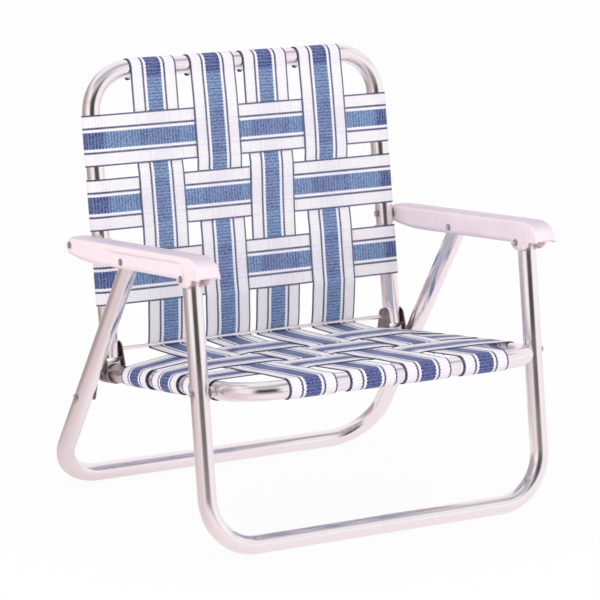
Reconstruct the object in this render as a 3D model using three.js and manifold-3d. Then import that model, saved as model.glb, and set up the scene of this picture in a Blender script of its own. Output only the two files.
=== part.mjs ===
import * as THREE from 'three';
import { mergeVertices } from 'three/addons/utils/BufferGeometryUtils.js';
import Module from 'manifold-3d';

// Low folding lawn chair: bent aluminium tube, woven webbing, moulded armrests.
// Millimetres, +Z up, the sitter faces -Y and left is -X.

// Tube stock
const tubeDiameter = 25.4;
const tubeWall = 1.2;
const tubeSides = 16;
const bendSteps = 6;
const holeSides = 12;

// Seat and back
const frameSpacing = 466;
const rodHeight = 217.2;
const rodDiameter = 6;
const backTilt = 8.3;
const backLength = 389.2;
const backFoot = 11;
const seatSlope = 6.44;
const seatDrop = 32.4;
const seatDepth = 380.7;
const seatTail = 12;
const seatBend = 55;

// Legs and arm pivots
const legGap = 6.8;
const armPivotReach = 151.2;
const seatPivotReach = 319.3;
const frontLegTilt = 7.4;
const frontLegBend = 70;
const rearLegTilt = 34.2;
const rearLegBend = 70;
const rearPivotReach = 149.2;
const rearPivotDepth = 2;
const linkPivotReach = 261;
const legTop = 12;

// Armrests
const armWidth = 33.8;
const armHeight = 31.5;
const armRise = 3.6;
const armNose = 11.6;
const armFront = 366;
const armFrontRound = 34;
const armFrontEase = 13.6;
const armTipHeight = 5.5;
const armTipLean = 2;
const armTipRise = 14.2;
const armLipHeight = 1.65;
const armEarReach = 19;
const armEarDrop = 10.6;
const armEarForward = 7;
const armTaper = 85;
const armTaperEase = 38;
const armCurveSteps = 6;
const armSideWall = 2.4;
const armTopWall = 3;
const armEdgeRound = 5;
const armEdgeSteps = 4;

// Hinge brackets, saddles and links
const sheetThickness = 1.6;
const bracketFront = 20;
const bracketRear = 18;
const bracketEye = 12;
const bracketRivetFront = 7;
const bracketHeel = 10.8;
const bracketSteps = 7;
const saddleLength = 20;
const saddleWidth = 21;
const saddleSteps = 8;
const linkWidth = 14;
const linkSteps = 6;

// Rivets, washers and spacers
const rivetShank = 4.8;
const rivetHead = 9.6;
const rivetHeadHeight = 1.8;
const rivetCrown = 6.7;
const rivetRim = 0.4;
const rivetSides = 10;
const thinHeadHeight = 1;
const washerDiameter = 17;
const spacerDiameter = 16;
const collarWaist = 1;
const collarSides = 12;

// Webbing
const webbingWidth = 70;
const webbingThickness = 1.2;
const weaveLift = 0.3;
const strapGapInner = 16;
const strapGapOuter = 23;
const rowAboveArm = 16.3;
const rowBelowArm = 18;
const rowGapTop = 19.6;
const seatRowGap = 17.4;
const seatRowMargin = 3.6;
const seatRowRise = 3.5;
const strapMargin = 1;
const wrapEnd = 200;
const frontWrapEnd = 230;
const topWrapEnd = 240;
const strapSplit = 38;
const wrapStep = 15;

// Clearances
const seatGap = 0.3;
const runGap = 0.3;
const plateGap = 0.4;

const degrees = THREE.MathUtils.degToRad;
const axisX = new THREE.Vector3(1, 0, 0);
const axisY = new THREE.Vector3(0, 1, 0);
const axisZ = new THREE.Vector3(0, 0, 1);

const aluminium = new THREE.MeshStandardMaterial({ color: 0xd2d4d8, roughness: 0.22, metalness: 0.95 });
const steel = new THREE.MeshStandardMaterial({ color: 0x7d7a78, roughness: 0.4, metalness: 0.9 });
const zinc = new THREE.MeshStandardMaterial({ color: 0xb9b8b6, roughness: 0.32, metalness: 0.9 });
const plastic = new THREE.MeshStandardMaterial({ color: 0xf3eceb, roughness: 0.45, metalness: 0 });
const webbing = new THREE.MeshStandardMaterial({ color: 0x4d76b4, roughness: 0.7, metalness: 0 });

// Solids from three.js geometry, for cuts and joins
const wasm = await Module();
wasm.setup();

function solid(geometry) {
  const bare = geometry.clone();
  bare.deleteAttribute('normal');
  bare.deleteAttribute('uv');
  const merged = mergeVertices(bare, 1e-4);
  const vertProperties = new Float32Array(merged.attributes.position.array);
  const triVerts = new Uint32Array(merged.index.array);
  return new wasm.Manifold(new wasm.Mesh({ numProp: 3, vertProperties, triVerts }));
}

function geometryOf(body) {
  const mesh = body.getMesh();
  const geometry = new THREE.BufferGeometry();
  geometry.setAttribute('position', new THREE.BufferAttribute(new Float32Array(mesh.vertProperties), 3));
  geometry.setIndex(new THREE.BufferAttribute(new Uint32Array(mesh.triVerts), 1));
  return geometry;
}

// A bent tube's stations: one ring at each end of a straight and a few round each bend
class StationPath extends THREE.Curve {
  constructor(points, tangents) {
    super();
    this.points = points;
    this.tangents = tangents;
  }

  pick(list, t, target = new THREE.Vector3()) {
    const place = t * (list.length - 1);
    const first = Math.min(Math.floor(place), list.length - 2);
    return target.lerpVectors(list[first], list[first + 1], place - first);
  }

  getPoint(t, target) {
    return this.pick(this.points, t, target);
  }

  getPointAt(t, target) {
    return this.pick(this.points, t, target);
  }

  getTangentAt(t, target) {
    return this.pick(this.tangents, t, target).normalize();
  }
}

function tubeSection(turn) {
  const facets = (radius, path) => {
    for (let facet = 0; facet < tubeSides; facet += 1) {
      const angle = Math.PI / 2 + turn + ((facet + 0.5) * 2 * Math.PI) / tubeSides;
      const corner = [radius * Math.cos(angle), radius * Math.sin(angle)];
      if (facet === 0) path.moveTo(...corner);
      else path.lineTo(...corner);
    }
    path.closePath();
    return path;
  };
  const section = facets(tubeRadius, new THREE.Shape());
  section.holes.push(facets(tubeRadius - tubeWall, new THREE.Path()));
  return section;
}

// A U of tube in its own XZ plane: the bar along X at z = 0, the open sides rising to +Z
function tubeU(halfSpacing, sideLength, bend, turn) {
  const points = [];
  const tangents = [];
  const station = (x, z, tx, tz) => {
    points.push(new THREE.Vector3(x, 0, z));
    tangents.push(new THREE.Vector3(tx, 0, tz));
  };
  station(-halfSpacing, sideLength, 0, -1);
  for (const hand of [-1, 1]) {
    for (let step = 0; step <= bendSteps; step += 1) {
      const swing = ((hand < 0 ? step : bendSteps - step) / bendSteps) * (Math.PI / 2);
      const x = hand * (halfSpacing - bend + bend * Math.cos(swing));
      station(x, bend - bend * Math.sin(swing), Math.sin(swing), hand * Math.cos(swing));
    }
  }
  station(halfSpacing, sideLength, 0, 1);
  const path = new StationPath(points, tangents);
  return new THREE.ExtrudeGeometry(tubeSection(turn), { steps: points.length - 1, extrudePath: path });
}

function pinAlongX(diameter, length, at) {
  const pin = new THREE.CylinderGeometry(diameter / 2, diameter / 2, length, holeSides);
  pin.rotateZ(Math.PI / 2);
  return solid(pin.translate(at.x, at.y, at.z));
}

function drilled(geometry, holes) {
  let body = solid(geometry);
  for (const hole of holes) body = body.subtract(hole);
  return geometryOf(body);
}

const root = new THREE.Group();

function place(group, name, geometry, material) {
  const mesh = new THREE.Mesh(geometry, material);
  mesh.name = name;
  group.add(mesh);
  return mesh;
}

function frameAt(y, z, turn) {
  const group = new THREE.Group();
  group.position.set(0, y, z);
  group.rotation.x = turn;
  root.add(group);
  group.updateMatrixWorld(true);
  return group;
}

function localTo(group, point) {
  return group.worldToLocal(new THREE.Vector3(0, point.y, point.z));
}

// Pivots, in the side view: y to the rear, z up, with the hinge rod at y = 0
const tubeRadius = tubeDiameter / 2;
const barHeight = tubeRadius * Math.cos(Math.PI / tubeSides);
const tubeX = frameSpacing / 2;
const legX = tubeX + tubeDiameter + legGap;
const side = (y, z) => new THREE.Vector3(0, y, z);
const along = (from, angle, reach) => side(
  from.y + reach * Math.cos(angle),
  from.z + reach * Math.sin(angle),
);
const backAngle = degrees(90 - backTilt);
const seatAngle = degrees(180 - seatSlope);
const rodAxis = side(0, rodHeight);
const seatHeel = side(0, rodHeight - seatDrop);
const armRear = along(rodAxis, backAngle, armPivotReach);
const seatPivot = along(seatHeel, seatAngle, seatPivotReach);
const armFrontPivot = along(seatPivot, backAngle, armPivotReach);
const armLine = Math.atan2(armFrontPivot.z - armRear.z, armRear.y - armFrontPivot.y);
const armAcross = along(armRear, Math.PI - armLine, rearPivotReach);
const armMiddle = along(armAcross, -armLine - Math.PI / 2, rearPivotDepth);
const frontLegMiddle = seatPivot.clone().lerp(armFrontPivot, 0.5);
const frontLegAngle = degrees(90 - frontLegTilt);
const frontReach = (barHeight - frontLegMiddle.z) / Math.sin(frontLegAngle);
const frontFoot = along(frontLegMiddle, frontLegAngle, frontReach);
const rearLegAngle = degrees(90 + rearLegTilt);
const rearReach = (barHeight - armMiddle.z) / Math.sin(rearLegAngle);
const rearFoot = along(armMiddle, rearLegAngle, rearReach);
const linkPivot = along(armMiddle, rearLegAngle, -linkPivotReach);

const seat = frameAt(seatHeel.y, seatHeel.z, -degrees(seatSlope));
const back = frameAt(rodAxis.y, rodAxis.z, -degrees(backTilt));
const frontLegs = frameAt(frontFoot.y, frontFoot.z, -degrees(frontLegTilt));
const rearLegs = frameAt(rearFoot.y, rearFoot.z, degrees(rearLegTilt));
const arms = frameAt(armRear.y, armRear.z, -armLine - degrees(armRise));
const linkTurn = Math.atan2(linkPivot.y - rodAxis.y, rodAxis.z - linkPivot.z);
const links = frameAt(rodAxis.y, rodAxis.z, linkTurn);

// Long straps across the chair; the top bar's straight is as long as they need
const halfWebbing = webbingWidth / 2;
const strapInner = strapGapInner / 2 + halfWebbing;
const strapOuter = strapInner + webbingWidth + strapGapOuter;
const strapCentres = [-strapOuter, -strapInner, strapInner, strapOuter];
const backBend = tubeX - strapOuter - halfWebbing - strapMargin;

const rivetHole = rivetShank + 2 * runGap;
const rodHole = rodDiameter + 2 * runGap;
const acrossAll = 2 * (legX + tubeDiameter);

// Layers out from the middle, on one side
const cheekInner = tubeX - tubeRadius - plateGap;
const cheekOuter = tubeX + tubeRadius + plateGap;
const linkInner = cheekOuter + sheetThickness + thinHeadHeight + seatGap;
const linkOuter = linkInner + sheetThickness;
const armInner = legX - armWidth / 2;
const armOuter = legX + armWidth / 2;

// Bent tube frames
function seatFrame() {
  const length = seatDepth + seatTail;
  const tube = tubeU(tubeX, length, seatBend, 0).rotateX(-Math.PI / 2).translate(0, -seatDepth, 0);
  const holes = [side(-seatPivotReach, 0), side(-bracketRivetFront, 0)];
  const cut = drilled(tube, holes.map((hole) => pinAlongX(rivetHole, acrossAll, hole)));
  place(seat, 'seat_frame', cut, aluminium);
}

function backFrame() {
  const tube = tubeU(tubeX, backLength + backFoot, backBend, 0);
  tube.rotateX(Math.PI).translate(0, 0, backLength);
  const holes = [
    pinAlongX(rodHole, acrossAll, side(0, 0)),
    pinAlongX(rivetHole, acrossAll, side(0, armPivotReach)),
  ];
  place(back, 'back_frame', drilled(tube, holes), aluminium);
}

function legFrame(group, name, foot, top, bend, tilt, pivots) {
  const tube = tubeU(legX, foot.distanceTo(top) + legTop, bend, tilt);
  const holes = pivots.map((pivot) => pinAlongX(rivetHole, acrossAll, localTo(group, pivot)));
  place(group, name, drilled(tube, holes), aluminium);
}

seatFrame();
backFrame();
legFrame(
  frontLegs, 'front_leg_frame', frontFoot, armFrontPivot, frontLegBend,
  degrees(frontLegTilt), [seatPivot, armFrontPivot],
);
legFrame(
  rearLegs, 'rear_leg_frame', rearFoot, armMiddle, rearLegBend,
  -degrees(rearLegTilt), [linkPivot, armMiddle],
);

// Armrest outlines in their own side view: forward of the rear pivot, and above it
const armFrontAt = localTo(arms, armFrontPivot);
const armMiddleAt = localTo(arms, armMiddle);
const armBottom = armNose - armHeight;

function armOutline(inset, open) {
  const outline = new THREE.Shape();
  const top = armNose - inset.top;
  const front = armFront - inset.end;
  const nose = armNose - inset.end;
  const tip = armBottom + armTipHeight;
  const ear = armEarForward - armFrontAt.y;
  outline.moveTo(0, top);
  outline.lineTo(front - armFrontRound, top);
  outline.bezierCurveTo(front - armFrontEase, top, front - armTipLean, tip + armTipRise, front, tip);
  if (open) {
    outline.lineTo(front, armBottom - armHeight);
    outline.lineTo(-nose, armBottom - armHeight);
    outline.lineTo(-nose, 0);
  } else {
    outline.lineTo(front - armTipHeight, armBottom + armLipHeight);
    outline.lineTo(ear + armEarReach, armBottom + armLipHeight);
    outline.lineTo(ear + armEarReach, armFrontAt.z);
    outline.absellipse(ear, armFrontAt.z, armEarReach, armEarDrop, 0, -Math.PI, true);
    outline.lineTo(ear - armEarReach, armBottom);
    outline.lineTo(armTaper, armBottom);
    outline.quadraticCurveTo(armTaperEase, armBottom, 0, -nose);
    outline.absarc(0, 0, nose, -Math.PI / 2, -Math.PI, true);
  }
  outline.absarc(0, 0, nose, Math.PI, Math.PI / 2, true);
  return outline;
}

function acrossArm(outline, width) {
  const extrusion = { depth: width, bevelEnabled: false, curveSegments: armCurveSteps };
  const slab = new THREE.ExtrudeGeometry(outline, extrusion);
  slab.translate(0, 0, -width / 2);
  const basis = new THREE.Matrix4().makeBasis(axisY.clone().negate(), axisZ, axisX.clone().negate());
  return solid(slab.applyMatrix4(basis));
}

function armCrown() {
  const half = armWidth / 2;
  const crown = new THREE.Shape();
  crown.moveTo(-half, armBottom - armHeight);
  crown.lineTo(half, armBottom - armHeight);
  crown.lineTo(half, armNose - armEdgeRound);
  crown.absarc(half - armEdgeRound, armNose - armEdgeRound, armEdgeRound, 0, Math.PI / 2, false);
  crown.absarc(-half + armEdgeRound, armNose - armEdgeRound, armEdgeRound, Math.PI / 2, Math.PI, false);
  crown.closePath();
  const length = 2 * (armFront + armNose);
  const extrusion = { depth: length, bevelEnabled: false, curveSegments: armEdgeSteps };
  const bar = new THREE.ExtrudeGeometry(crown, extrusion);
  return solid(bar.translate(0, 0, -length / 2).rotateX(Math.PI / 2));
}

function armrest(name, x) {
  const shell = acrossArm(armOutline({ top: 0, end: 0 }, false), armWidth).intersect(armCrown());
  const hollow = armOutline({ top: armTopWall, end: armSideWall }, true);
  let body = shell.subtract(acrossArm(hollow, armWidth - 2 * armSideWall));
  for (const pivot of [side(0, 0), armMiddleAt, armFrontAt]) {
    body = body.subtract(pinAlongX(rivetHole, acrossAll, pivot));
  }
  place(arms, name, geometryOf(body), plastic).position.x = x;
}

// Stamped bracket: a U of sheet round the seat tube's tail, its cheeks rising to the hinge rod
const rodInSeat = localTo(seat, rodAxis);

function bracketCheeks() {
  const inner = tubeRadius + plateGap;
  const outer = inner + sheetThickness;
  const top = rodInSeat.z + bracketEye;
  const section = new THREE.Shape();
  section.moveTo(outer, top);
  section.lineTo(inner, top);
  section.absarc(0, 0, inner, 0, -Math.PI, true);
  section.lineTo(-inner, top);
  section.lineTo(-outer, top);
  section.absarc(0, 0, outer, Math.PI, 2 * Math.PI, false);
  section.closePath();
  const length = 2 * (bracketFront + bracketRear);
  const extrusion = { depth: length, bevelEnabled: false, curveSegments: bracketSteps };
  const channel = new THREE.ExtrudeGeometry(section, extrusion);
  return solid(channel.translate(0, 0, -length / 2).rotateX(Math.PI / 2));
}

function bracketSide() {
  const eyeFront = -rodInSeat.y;
  const low = -tubeRadius - plateGap - 2 * sheetThickness;
  const outline = new THREE.Shape();
  outline.moveTo(bracketFront, low);
  outline.lineTo(bracketFront, tubeRadius);
  outline.lineTo(eyeFront + bracketEye, rodInSeat.z);
  outline.absarc(eyeFront, rodInSeat.z, bracketEye, 0, Math.PI, false);
  outline.lineTo(-bracketRear, 0);
  outline.lineTo(-bracketHeel, low);
  outline.closePath();
  return acrossArm(outline, 2 * (tubeDiameter + sheetThickness));
}

function hingeBracket(name, x) {
  let body = bracketCheeks().intersect(bracketSide());
  body = body.subtract(pinAlongX(rodHole, acrossAll, rodInSeat));
  body = body.subtract(pinAlongX(rivetHole, acrossAll, side(-bracketRivetFront, 0)));
  place(seat, name, geometryOf(body), steel).position.x = x;
}

// Saddle on the seat tube under the back tube's end, hollowed to the end's swing
function backSaddle(name, x) {
  const half = saddleWidth / 2;
  const section = new THREE.Shape();
  const bed = (across) => Math.sqrt((tubeRadius + plateGap) ** 2 - across ** 2);
  const cup = (across) => {
    const swing = Math.hypot(Math.sqrt(tubeRadius ** 2 - across ** 2), backFoot);
    return rodInSeat.z - plateGap - swing;
  };
  section.moveTo(-half, bed(half));
  for (let step = 1; step <= saddleSteps; step += 1) {
    const across = -half + (saddleWidth * step) / saddleSteps;
    section.lineTo(across, bed(across));
  }
  for (let step = saddleSteps; step >= 0; step -= 1) {
    const across = -half + (saddleWidth * step) / saddleSteps;
    section.lineTo(across, cup(across));
  }
  section.closePath();
  const block = new THREE.ExtrudeGeometry(section, { depth: saddleLength, bevelEnabled: false });
  block.translate(0, 0, -saddleLength / 2).rotateX(Math.PI / 2);
  const mesh = place(seat, name, block, zinc);
  mesh.position.set(x, rodInSeat.y, 0);
}

// Flat link from the hinge rod down to the rear leg
function legLink(name, outward) {
  const length = linkPivot.distanceTo(rodAxis);
  const outline = new THREE.Shape();
  outline.absarc(0, 0, linkWidth / 2, -Math.PI / 2, Math.PI / 2, false);
  outline.absarc(-length, 0, linkWidth / 2, Math.PI / 2, 1.5 * Math.PI, false);
  outline.closePath();
  const extrusion = { depth: sheetThickness, bevelEnabled: false, curveSegments: linkSteps };
  const plate = new THREE.ExtrudeGeometry(outline, extrusion);
  const basis = new THREE.Matrix4().makeBasis(axisZ, axisY.clone().negate(), axisX);
  plate.applyMatrix4(basis);
  const holes = [
    pinAlongX(rodHole, acrossAll, side(0, 0)),
    pinAlongX(rivetHole, acrossAll, side(0, -length)),
  ];
  const left = outward < 0 ? -linkOuter : linkInner;
  place(links, name, drilled(plate.translate(left, 0, 0), holes), steel);
}

// A headed pin along X, from an inner to an outer distance out from the middle
function rivet(group, name, at, spec) {
  const { inner, outer, innerHead, outerHead, outward } = spec;
  const shank = rivetShank / 2;
  const head = rivetHead / 2;
  const profile = [new THREE.Vector2(0, inner - innerHead)];
  if (innerHead > 0) {
    profile.push(new THREE.Vector2(rivetCrown / 2, inner - innerHead));
    profile.push(new THREE.Vector2(head, inner - innerHead * rivetRim));
    profile.push(new THREE.Vector2(head, inner));
  }
  profile.push(new THREE.Vector2(shank, inner));
  profile.push(new THREE.Vector2(shank, outer));
  if (outerHead > 0) {
    profile.push(new THREE.Vector2(head, outer));
    profile.push(new THREE.Vector2(head, outer + outerHead * rivetRim));
    profile.push(new THREE.Vector2(rivetCrown / 2, outer + outerHead));
  }
  profile.push(new THREE.Vector2(0, outer + outerHead));
  const pin = new THREE.LatheGeometry(profile, rivetSides).rotateZ(-Math.PI / 2);
  if (outward < 0) pin.rotateZ(Math.PI);
  const mesh = place(group, name, pin, zinc);
  mesh.position.set(0, at.y, at.z);
}

// A waisted collar on a rivet, between two tubes or a tube and an armrest
function collar(group, name, at, spec) {
  const { inner, outer, diameter, outward } = spec;
  const rim = diameter / 2;
  const bore = rivetHole / 2;
  const profile = [
    new THREE.Vector2(bore, inner),
    new THREE.Vector2(rim, inner),
    new THREE.Vector2(rim - collarWaist, (inner + outer) / 2),
    new THREE.Vector2(rim, outer),
    new THREE.Vector2(bore, outer),
    new THREE.Vector2(bore, inner),
  ];
  const turned = new THREE.LatheGeometry(profile, collarSides).rotateZ(-Math.PI / 2);
  if (outward < 0) turned.rotateZ(Math.PI);
  place(group, name, turned, zinc).position.set(0, at.y, at.z);
}

function hingeRod() {
  const reach = linkOuter + seatGap;
  const head = rivetHead / 2;
  const profile = [
    new THREE.Vector2(0, -reach - rivetHeadHeight),
    new THREE.Vector2(head, -reach - rivetHeadHeight),
    new THREE.Vector2(head, -reach),
    new THREE.Vector2(rodDiameter / 2, -reach),
    new THREE.Vector2(rodDiameter / 2, reach),
    new THREE.Vector2(head, reach),
    new THREE.Vector2(head, reach + rivetHeadHeight),
    new THREE.Vector2(0, reach + rivetHeadHeight),
  ];
  const rod = new THREE.LatheGeometry(profile, rivetSides).rotateZ(-Math.PI / 2);
  place(seat, 'hinge_rod', rod, zinc).position.copy(rodInSeat);
}

hingeRod();
for (const [hand, outward] of [['left', -1], ['right', 1]]) {
  armrest(`armrest_${hand}`, outward * legX);
  hingeBracket(`hinge_bracket_${hand}`, outward * tubeX);
  backSaddle(`back_saddle_${hand}`, outward * tubeX);
  legLink(`leg_link_${hand}`, outward);
  const armHeads = { innerHead: rivetHeadHeight, outerHead: rivetHeadHeight, outward };
  const armSpan = { inner: armInner - seatGap, outer: armOuter + seatGap, ...armHeads };
  rivet(arms, `arm_back_rivet_${hand}`, side(0, 0), { ...armSpan, inner: tubeX - tubeRadius - seatGap });
  rivet(arms, `arm_rear_leg_rivet_${hand}`, armMiddleAt, armSpan);
  rivet(arms, `arm_front_leg_rivet_${hand}`, armFrontAt, armSpan);
  collar(arms, `arm_back_washer_${hand}`, side(0, 0), {
    inner: tubeX + tubeRadius + seatGap,
    outer: armInner - seatGap,
    diameter: washerDiameter,
    outward,
  });
  rivet(seat, `seat_leg_rivet_${hand}`, side(-seatPivotReach, 0), {
    inner: tubeX - tubeRadius - seatGap,
    outer: legX + tubeRadius + seatGap,
    ...armHeads,
  });
  collar(seat, `seat_leg_spacer_${hand}`, side(-seatPivotReach, 0), {
    inner: tubeX + tubeRadius + seatGap,
    outer: legX - tubeRadius - seatGap,
    diameter: spacerDiameter,
    outward,
  });
  rivet(seat, `bracket_rivet_${hand}`, side(-bracketRivetFront, 0), {
    inner: cheekInner - sheetThickness - seatGap,
    outer: cheekOuter + sheetThickness + seatGap / 2,
    innerHead: rivetHeadHeight,
    outerHead: thinHeadHeight - seatGap / 2,
    outward,
  });
  rivet(rearLegs, `link_leg_rivet_${hand}`, localTo(rearLegs, linkPivot), {
    inner: linkOuter + seatGap,
    outer: legX + tubeRadius + seatGap,
    innerHead: 0,
    outerHead: rivetHeadHeight,
    outward,
  });
  rivet(links, `link_rivet_end_${hand}`, localTo(links, linkPivot), {
    inner: linkInner - seatGap,
    outer: linkOuter,
    innerHead: thinHeadHeight,
    outerHead: 0,
    outward,
  });
}

// Webbing: a ribbon's path in its side view, thickened and drawn out to the strap's width
const wrapRadius = tubeRadius + seatGap + webbingThickness / 2;
const weaveStep = (webbingThickness + seatGap) / 2;
const webbingLevel = wrapRadius + weaveStep + weaveLift;
const rodWrap = rodDiameter / 2 + seatGap + webbingThickness / 2;

function arcPoints(centre, radius, from, to) {
  const count = Math.max(2, Math.ceil(Math.abs(to - from) / degrees(wrapStep)));
  const points = [];
  for (let step = 0; step <= count; step += 1) {
    const angle = from + ((to - from) * step) / count;
    points.push(new THREE.Vector2(Math.cos(angle), Math.sin(angle)).multiplyScalar(radius).add(centre));
  }
  return points;
}

function ribbon(path, across, upward) {
  const left = [];
  const right = [];
  path.forEach((point, index) => {
    const before = path[Math.max(index - 1, 0)];
    const after = path[Math.min(index + 1, path.length - 1)];
    const run = after.clone().sub(before).normalize();
    const normal = new THREE.Vector2(-run.y, run.x).multiplyScalar(webbingThickness / 2);
    left.push(point.clone().add(normal));
    right.push(point.clone().sub(normal));
  });
  const shape = new THREE.Shape([...left, ...right.reverse()]);
  const strip = new THREE.ExtrudeGeometry(shape, { depth: webbingWidth, bevelEnabled: false });
  strip.translate(0, 0, -webbingWidth / 2);
  const width = across.clone().cross(upward);
  return strip.applyMatrix4(new THREE.Matrix4().makeBasis(across, upward, width));
}

// Across a row: over or under each long strap; along a strap: over or under each row
function crossings(centres, isOver, riseAt) {
  return centres.flatMap((centre, index) => {
    const level = webbingLevel + riseAt(index) + (isOver(index) ? weaveStep : -weaveStep);
    const reach = webbingWidth / 2 + webbingThickness;
    return [new THREE.Vector2(centre - reach, level), new THREE.Vector2(centre + reach, level)];
  });
}

const backRows = [
  armPivotReach + rowAboveArm + webbingWidth + rowGapTop + halfWebbing,
  armPivotReach + rowAboveArm + halfWebbing,
  armPivotReach - rowBelowArm - halfWebbing,
];
const seatRowEnd = seatPivotReach - spacerDiameter / 2 - seatRowMargin;
const seatRowPitch = webbingWidth + seatRowGap;
const seatRows = [2, 1, 0].map((row) => seatRowEnd - halfWebbing - row * seatRowPitch);
const strapOverBack = (row, strap) => (row + strap) % 2 === 1;
const strapOverSeat = (row, strap) => (row + strap) % 2 === 0;

// The back's weave is flat; on the seat each row behind the front one lies higher, towards the rod
const flat = () => 0;
const seatRise = (row) => (seatRows.length - 1 - row) * seatRowRise;

function rowPath(isOver, rise) {
  const start = degrees(90 + wrapEnd);
  const end = degrees(90 - wrapEnd);
  return [
    ...arcPoints(new THREE.Vector2(-tubeX, 0), wrapRadius, start, Math.PI / 2),
    ...crossings(strapCentres, isOver, () => rise),
    ...arcPoints(new THREE.Vector2(tubeX, 0), wrapRadius, Math.PI / 2, end),
  ];
}

// The angle round the rod where a straight run from the weave meets it
function rodTangent(centre, from) {
  const run = from.clone().sub(centre);
  return Math.atan2(run.y, run.x) - Math.acos(rodWrap / run.length());
}

const splitWay = along(side(0, 0), -degrees(strapSplit), 1);

function splitAngle(forward, upward) {
  return Math.atan2(splitWay.dot(upward), splitWay.dot(forward));
}

function backStrapPath(strap) {
  const weave = crossings([...backRows].reverse(), (row) => strapOverBack(2 - row, strap), flat).reverse();
  const rod = new THREE.Vector2(0, 0);
  const meets = rodTangent(rod, weave[weave.length - 1]);
  const ends = splitAngle(along(side(0, 0), backAngle, 1), along(side(0, 0), backAngle + Math.PI / 2, 1));
  return [
    ...arcPoints(new THREE.Vector2(backLength, 0), wrapRadius, degrees(90 - topWrapEnd), Math.PI / 2),
    ...weave,
    ...arcPoints(rod, rodWrap, meets, ends),
  ];
}

function seatStrapPath(strap) {
  const weave = crossings(seatRows, (row) => strapOverSeat(row, strap), seatRise);
  const rod = new THREE.Vector2(-rodInSeat.y, rodInSeat.z);
  const meets = rodTangent(rod, weave[0]);
  const forward = along(side(0, 0), seatAngle, 1);
  const upward = along(side(0, 0), seatAngle - Math.PI / 2, 1);
  const starts = splitAngle(forward, upward) + (2 * seatGap) / rodWrap;
  return [
    ...arcPoints(rod, rodWrap, starts, meets),
    ...weave,
    ...arcPoints(new THREE.Vector2(seatDepth, 0), wrapRadius, Math.PI / 2, degrees(90 - frontWrapEnd)),
  ];
}

const forwardAxis = axisY.clone().negate();
strapCentres.forEach((centre, strap) => {
  const onBack = ribbon(backStrapPath(strap), axisZ, forwardAxis);
  place(back, `back_strap_${strap + 1}`, onBack, webbing).position.x = centre;
  const onSeat = ribbon(seatStrapPath(strap), forwardAxis, axisZ);
  place(seat, `seat_strap_${strap + 1}`, onSeat, webbing).position.x = centre;
});
backRows.forEach((centre, row) => {
  const path = rowPath((strap) => !strapOverBack(row, strap), 0);
  place(back, `back_row_${row + 1}`, ribbon(path, axisX, forwardAxis), webbing).position.z = centre;
});
seatRows.forEach((centre, row) => {
  const path = rowPath((strap) => !strapOverSeat(row, strap), seatRise(row));
  place(seat, `seat_row_${row + 1}`, ribbon(path, axisX, axisZ), webbing).position.y = -centre;
});

// Origin on the floor, under the middle of the chair
root.updateMatrixWorld(true);
const middle = new THREE.Box3().setFromObject(root).getCenter(new THREE.Vector3());
root.position.y = -middle.y;

export default root;
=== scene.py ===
import math

import bpy
from mathutils import Matrix, Vector


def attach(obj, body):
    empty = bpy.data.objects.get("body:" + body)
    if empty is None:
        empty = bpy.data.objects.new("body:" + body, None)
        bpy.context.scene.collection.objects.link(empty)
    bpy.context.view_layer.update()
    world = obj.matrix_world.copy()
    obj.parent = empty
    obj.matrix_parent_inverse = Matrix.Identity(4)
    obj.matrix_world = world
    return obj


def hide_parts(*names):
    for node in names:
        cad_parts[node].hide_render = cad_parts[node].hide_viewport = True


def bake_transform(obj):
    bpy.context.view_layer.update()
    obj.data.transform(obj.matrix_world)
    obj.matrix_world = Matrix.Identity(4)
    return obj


# Low folding lawn chair: polished tube, striped webbing, moulded armrests.
# Sizes below are in millimetres, +Z up, the sitter faces -Y and left is -X.

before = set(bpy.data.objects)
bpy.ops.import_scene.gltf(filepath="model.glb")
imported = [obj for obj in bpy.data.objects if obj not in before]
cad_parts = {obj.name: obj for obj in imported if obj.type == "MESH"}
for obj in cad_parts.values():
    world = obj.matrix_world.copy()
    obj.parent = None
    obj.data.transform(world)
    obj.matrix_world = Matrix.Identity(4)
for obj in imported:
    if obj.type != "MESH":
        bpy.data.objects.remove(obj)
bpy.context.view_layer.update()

mm = 0.001
sides = {"left": -1, "right": 1}

# each body's own origin in the side view: y to the rear, z up, and its lean in degrees; {} is left or right
stands = {
    "seat": (131.574, 184.8, -6.44),
    "back": (131.574, 217.2, -8.3),
    "front_legs": (-211.548, 12.456, -7.4),
    "rear_legs": (244.743, 12.456, 34.2),
    "arm_{}": (153.401, 366.816, -4.2165),
    "link_{}": (131.574, 217.2, 16.163),
}
tubeX = {"seat": 233.0, "legs": 265.2}  # out from the middle; the back's tubes line up with the seat's
tubeRadius = 12.7
barAt = {"back": 389.2, "seat": 380.7}  # the top bar and the front bar, along the tubes from their origins

# forward and up are from the seat's origin
hingeRod = {"forward": 3.634, "up": 32.196, "reach": 250.9, "diameter": 6.0, "head": 1.8}


def smoothStep(low, high, value):
    t = min(max((value - low) / (high - low), 0), 1)
    return t * t * (3 - 2 * t)


def shareAt(curve, value):  # how far along a rising curve it reaches a value
    low, high = 0.0, 1.0
    for _ in range(40):
        mid = (low + high) / 2
        low, high = (mid, high) if curve(mid) < value else (low, mid)
    return low


def bezier(points, t):
    a, b, c, d = points
    s = 1 - t
    return a * s ** 3 + 3 * b * s * s * t + 3 * c * s * t * t + d * t ** 3


def sines(first, last):  # of the steps through a quarter turn
    return [math.sin(math.pi / 2 * step / last) for step in range(first, last + 1)]


def arc(centre, radius, start, end, step=2.0):  # points from one angle to another, about a step apart
    count = max(4, math.ceil(abs(math.radians(end - start)) * radius / step))
    angles = [math.radians(start + (end - start) * i / count) for i in range(count + 1)]
    return [(centre[0] + radius * math.cos(a), centre[1] + radius * math.sin(a)) for a in angles]


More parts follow.
